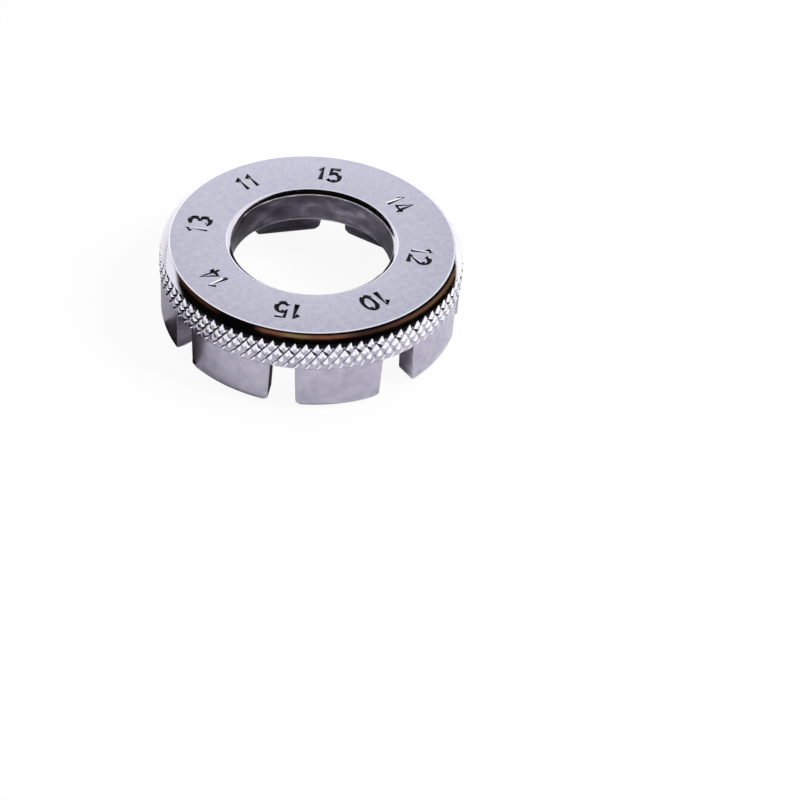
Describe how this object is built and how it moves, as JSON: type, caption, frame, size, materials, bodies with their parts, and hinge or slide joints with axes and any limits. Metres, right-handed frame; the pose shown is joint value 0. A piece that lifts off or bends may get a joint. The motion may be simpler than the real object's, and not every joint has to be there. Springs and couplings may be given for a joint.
{
  "type": "spoke wrench",
  "caption": "Round chrome spoke wrench: a knurled ring with a central hole and a numbered face, whose jaws form nipple slots of graded widths.",
  "frame": {"origin": "on the axis of the ring, at the level of the jaw tips", "axes": "+Z along the hole towards the numbered face, -Y towards the 10 gauge slot"},
  "size_m": [0.042, 0.042, 0.0126],
  "materials": {
    "face_chrome": "satin chrome plate on the flat face, polished bevel and rough-cast underside",
    "knurl_chrome": "bright chrome plate over a cast diamond knurl",
    "jaw_chrome": "satin chrome plate with polished tips"
  },
  "bodies": {
    "root": {"face_plate": "face_chrome", "knurled_rim": "knurl_chrome", "jaw_1": "jaw_chrome", "jaw_2": "jaw_chrome", "jaw_3": "jaw_chrome", "jaw_4": "jaw_chrome", "jaw_5": "jaw_chrome", "jaw_6": "jaw_chrome", "jaw_7": "jaw_chrome", "jaw_8": "jaw_chrome"}
  },
  "joints": []
}
